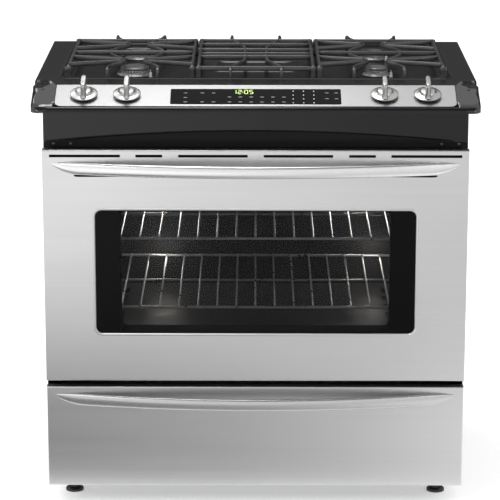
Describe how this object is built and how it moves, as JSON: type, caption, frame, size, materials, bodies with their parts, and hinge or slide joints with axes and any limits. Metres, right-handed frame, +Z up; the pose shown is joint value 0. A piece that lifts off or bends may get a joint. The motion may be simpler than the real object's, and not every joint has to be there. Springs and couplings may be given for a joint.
{
  "type": "freestanding gas range",
  "caption": "Gas range with sloped front console and push-turn knobs, cast grates over a recessed cooktop, drop-down windowed oven door, sliding racks and a storage drawer.",
  "frame": {"origin": "centre of the overall footprint, handles included, on the floor under the leveling feet", "axes": "+X to the viewer's right along the front, +Y from the front towards the wall behind, +Z up; the door and drawer fronts face -Y"},
  "size_m": [0.96, 0.73, 0.955],
  "materials": {
    "side_enamel": "semi-gloss baked enamel",
    "galvanised": "dull zinc coated sheet",
    "black_paint": "satin black",
    "leg_steel": "plated steel",
    "oven_enamel": "speckled porcelain enamel on steel",
    "burner_steel": "heat dulled",
    "lamp_glass": "clear lens",
    "chrome_wire": "bright plated wire",
    "gasket": "woven seal",
    "cooktop_enamel": "glossy porcelain enamel on steel",
    "cast_iron": "matte enamelled iron",
    "console_black": "glossy",
    "console_silver": "satin brushed",
    "display": "dark glossy strip",
    "pipe_steel": "plain pipe",
    "regulator_alloy": "as cast",
    "stainless": "horizontal brushed grain",
    "window_glass": "tinted, black printed border",
    "inner_glass": "clear",
    "burner_alloy": "cast",
    "cap_enamel": "satin black enamel",
    "knob_satin": "satin metal finish",
    "stem_brass": "turned",
    "valve_brass": "turned"
  },
  "bodies": {
    "range_body": {"side_panel_left": "side_enamel", "side_panel_right": "side_enamel", "rear_panel": "galvanised", "base_pan": "galvanised", "drawer_rail_left": "galvanised", "drawer_rail_right": "galvanised", "toe_panel": "black_paint", "front_frame": "black_paint", "leveling_legs": "leg_steel", "oven_liner": "oven_enamel", "oven_floor_panel": "oven_enamel", "bake_burner": "burner_steel", "broil_burner": "burner_steel", "oven_lamp_left": "lamp_glass", "oven_lamp_right": "lamp_glass", "door_gasket": "gasket", "cooktop_panel": "cooktop_enamel", "console_fascia": "console_black", "end_cap_left": "console_black", "end_cap_right": "console_black", "console_panel": "console_silver", "display_glass": "display", "gas_manifold": "pipe_steel", "supply_pipe": "pipe_steel", "pressure_regulator": "regulator_alloy", "burner_base_lf": "burner_alloy", "burner_cap_lf": "cap_enamel", "burner_base_lr": "burner_alloy", "burner_cap_lr": "cap_enamel", "burner_base_rf": "burner_alloy", "burner_cap_rf": "cap_enamel", "burner_base_rr": "burner_alloy", "burner_cap_rr": "cap_enamel", "valve_body_1": "valve_brass", "valve_body_2": "valve_brass", "valve_body_3": "valve_brass", "valve_body_4": "valve_brass"},
    "door": {"door_panel": "stainless", "door_glass": "window_glass", "door_liner": "oven_enamel", "door_glass_inner": "inner_glass", "door_hinge_left": "galvanised", "door_hinge_right": "galvanised", "door_handle": "stainless"},
    "drawer": {"drawer_front": "stainless", "drawer_box": "galvanised", "drawer_handle": "stainless"},
    "rack_lower": {"oven_rack_lower": "chrome_wire"},
    "rack_upper": {"oven_rack_upper": "chrome_wire"},
    "left_grate": {"grate_left": "cast_iron"},
    "center_grate": {"grate_center": "cast_iron"},
    "right_grate": {"grate_right": "cast_iron"},
    "stem_1": {"valve_stem_1": "stem_brass"},
    "dial_1": {"knob_1": "knob_satin"},
    "stem_2": {"valve_stem_2": "stem_brass"},
    "dial_2": {"knob_2": "knob_satin"},
    "stem_3": {"valve_stem_3": "stem_brass"},
    "dial_3": {"knob_3": "knob_satin"},
    "stem_4": {"valve_stem_4": "stem_brass"},
    "dial_4": {"knob_4": "knob_satin"}
  },
  "joints": [
    {"name": "door_hinge", "type": "hinge", "parent": "range_body", "child": "door", "pos_m": [0, -0.296, 0.296], "axis": [1, 0, 0], "range_deg": [0, 90], "stiffness_Nm_per_rad": 20, "springref_deg": -14.32},
    {"name": "drawer_slide", "type": "slide", "parent": "range_body", "child": "drawer", "axis": [0, -1, 0], "range_m": [0, 0.36]},
    {"name": "lower_rack_slide", "type": "slide", "parent": "range_body", "child": "rack_lower", "axis": [0, -1, 0], "range_m": [0, 0.19]},
    {"name": "upper_rack_slide", "type": "slide", "parent": "range_body", "child": "rack_upper", "axis": [0, -1, 0], "range_m": [0, 0.19]},
    {"name": "left_grate_lift", "type": "slide", "parent": "range_body", "child": "left_grate", "axis": [0, 0, 1], "range_m": [0, 0.12]},
    {"name": "center_grate_lift", "type": "slide", "parent": "range_body", "child": "center_grate", "axis": [0, 0, 1], "range_m": [0, 0.12]},
    {"name": "right_grate_lift", "type": "slide", "parent": "range_body", "child": "right_grate", "axis": [0, 0, 1], "range_m": [0, 0.12]},
    {"name": "knob_1_push", "type": "slide", "parent": "range_body", "child": "stem_1", "axis": [0, 0.3486, -0.9373], "range_m": [0, 0.004], "stiffness_N_per_m": 600, "springref_m": -0.005},
    {"name": "knob_1_turn", "type": "hinge", "parent": "stem_1", "child": "dial_1", "pos_m": [-0.367, -0.26412, 0.91851], "axis": [0, -0.3486, 0.9373], "range_deg": [0, 250]},
    {"name": "knob_2_push", "type": "slide", "parent": "range_body", "child": "stem_2", "axis": [0, 0.3486, -0.9373], "range_m": [0, 0.004], "stiffness_N_per_m": 600, "springref_m": -0.005},
    {"name": "knob_2_turn", "type": "hinge", "parent": "stem_2", "child": "dial_2", "pos_m": [-0.275, -0.26412, 0.91851], "axis": [0, -0.3486, 0.9373], "range_deg": [0, 250]},
    {"name": "knob_3_push", "type": "slide", "parent": "range_body", "child": "stem_3", "axis": [0, 0.3486, -0.9373], "range_m": [0, 0.004], "stiffness_N_per_m": 600, "springref_m": -0.005},
    {"name": "knob_3_turn", "type": "hinge", "parent": "stem_3", "child": "dial_3", "pos_m": [0.275, -0.26412, 0.91851], "axis": [0, -0.3486, 0.9373], "range_deg": [0, 250]},
    {"name": "knob_4_push", "type": "slide", "parent": "range_body", "child": "stem_4", "axis": [0, 0.3486, -0.9373], "range_m": [0, 0.004], "stiffness_N_per_m": 600, "springref_m": -0.005},
    {"name": "knob_4_turn", "type": "hinge", "parent": "stem_4", "child": "dial_4", "pos_m": [0.367, -0.26412, 0.91851], "axis": [0, -0.3486, 0.9373], "range_deg": [0, 250]}
  ],
  "couplings": [
    {"joint": "lower_rack_slide", "follows": "door_hinge", "m_per_rad": 0.12},
    {"joint": "upper_rack_slide", "follows": "door_hinge", "m_per_rad": 0.12}
  ]
}
